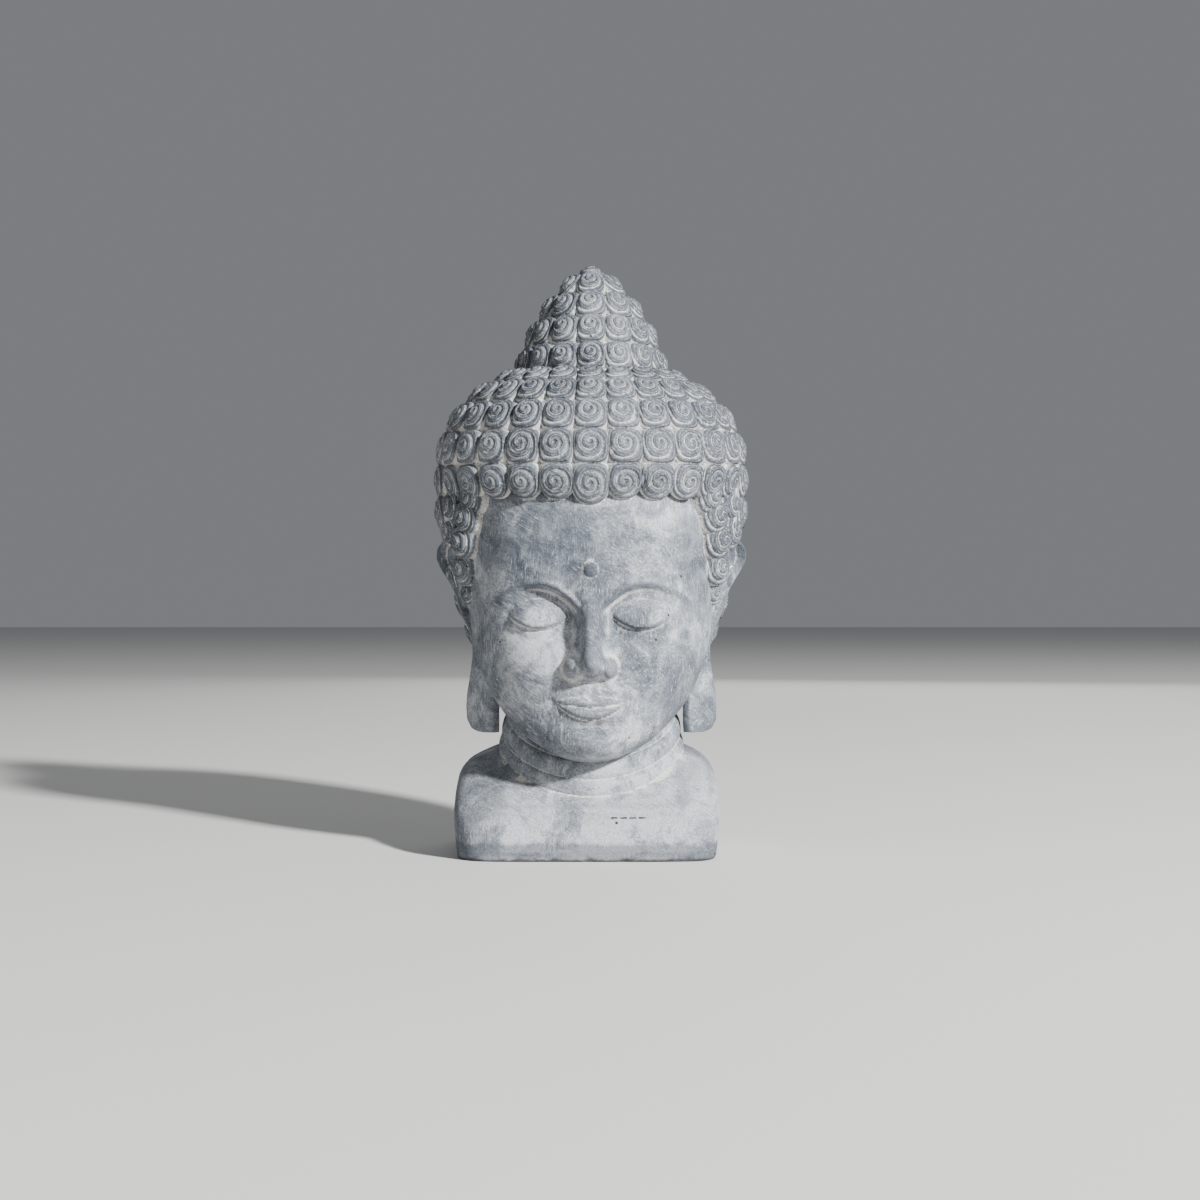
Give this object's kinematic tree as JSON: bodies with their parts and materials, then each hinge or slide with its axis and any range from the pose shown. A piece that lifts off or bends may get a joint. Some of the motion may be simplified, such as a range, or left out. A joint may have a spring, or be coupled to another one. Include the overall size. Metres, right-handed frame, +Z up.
{
  "type": "garden statue of a buddha head",
  "caption": "Cast stone Buddha head with closed eyes, rows of snail curls, a topknot and long ears, on a squared shoulder block that stands on its flat foot.",
  "frame": {"origin": "middle of the flat underside of the head's stance, on the surface it stands on", "axes": "+Z up through the topknot, the face looks along -Y, +X to the right of a person facing it"},
  "size_m": [0.3296, 0.3179, 0.6],
  "materials": {
    "stone": "matt blue-grey cast stone under a thin brushed white wash, cream-white in the grooves, with small dark pinholes"
  },
  "bodies": {
    "root": {"buddha_head": "stone"}
  },
  "joints": []
}
